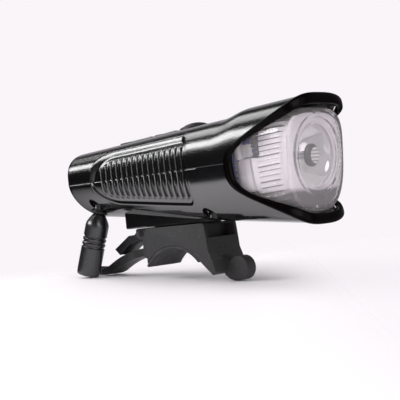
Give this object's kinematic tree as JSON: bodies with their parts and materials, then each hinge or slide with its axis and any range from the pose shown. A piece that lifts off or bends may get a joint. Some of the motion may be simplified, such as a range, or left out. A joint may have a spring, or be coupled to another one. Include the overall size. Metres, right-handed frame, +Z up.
{
  "type": "bicycle headlight",
  "caption": "Black bicycle headlight: tapered casing with ribbed grips, wrap-round clear lens under a visor, lead connector, and a slide-on handlebar bracket with a rubber strap.",
  "frame": {"origin": "centre of the handlebar in the saddle, halfway along the saddle", "axes": "+X along the handlebar, +Z up, the beam looks along -Y"},
  "size_m": [0.0438, 0.1174, 0.0682],
  "materials": {
    "upper_casing": "glossy black moulded plastic with a fine speckled sheen",
    "lower_casing": "glossy black moulded plastic",
    "bezel": "glossy black trim",
    "front_lens": "clear moulded cover, fluted inside its flanks",
    "reflector_frame": "silvered plastic",
    "reflector": "metallised mirror finish",
    "led_board": "bare aluminium board",
    "led_emitter": "yellow phosphor under a clear dome",
    "heat_sink": "turned aluminium",
    "battery_cell": "blue shrink wrap",
    "battery_tabs": "nickel strip",
    "battery_foam": "dark foam",
    "driver_board": "green solder mask",
    "tact_switch": "dark plastic",
    "mode_button": "satin rubber dome",
    "rear_top_pad": "smooth smoked plastic",
    "front_top_pad": "smooth smoked plastic",
    "casing_screws": "plated steel",
    "brass_insert": "plain brass",
    "lead_grommet": "black rubber",
    "lead_neck": "black jacket",
    "connector_body": "matte black moulding",
    "connector_contact": "gold-coloured contact",
    "bracket_saddle": "matte dark grey moulding with fine texture",
    "saddle_pad": "grey-black rubber",
    "release_lever": "matte dark grey moulding",
    "strap": "black rubber with beaded edges"
  },
  "bodies": {
    "bracket": {"bracket_saddle": "bracket_saddle", "saddle_pad": "saddle_pad"},
    "light": {"upper_casing": "upper_casing", "lower_casing": "lower_casing", "bezel": "bezel", "front_lens": "front_lens", "reflector_frame": "reflector_frame", "reflector": "reflector", "led_board": "led_board", "led_emitter": "led_emitter", "heat_sink": "heat_sink", "battery_cell": "battery_cell", "battery_tabs": "battery_tabs", "battery_foam": "battery_foam", "driver_board": "driver_board", "tact_switch": "tact_switch", "rear_top_pad": "rear_top_pad", "front_top_pad": "front_top_pad", "casing_screws": "casing_screws", "brass_insert": "brass_insert", "lead_grommet": "lead_grommet", "lead_neck": "lead_neck", "connector_body": "connector_body", "connector_contact": "connector_contact"},
    "button": {"mode_button": "mode_button"},
    "lever": {"release_lever": "release_lever"},
    "strap_body": {"strap": "strap"}
  },
  "joints": [
    {"name": "rail_slide", "type": "slide", "parent": "bracket", "child": "light", "axis": [0, -0.9971, 0.0767], "range_m": [0, 0.014]},
    {"name": "button_press", "type": "slide", "parent": "light", "child": "button", "axis": [0, -0.1392, -0.9903], "range_m": [0, 0.0008], "stiffness_N_per_m": 1500, "springref_m": -0.0004},
    {"name": "release_lever", "type": "hinge", "parent": "bracket", "child": "lever", "pos_m": [0, 0.01828, 0.02126], "axis": [1, 0, 0], "range_deg": [0, 10]},
    {"name": "strap_swing", "type": "hinge", "parent": "bracket", "child": "strap_body", "pos_m": [0, 0.01554, 0.01425], "axis": [-1, 0, 0], "range_deg": [0, 70]}
  ]
}
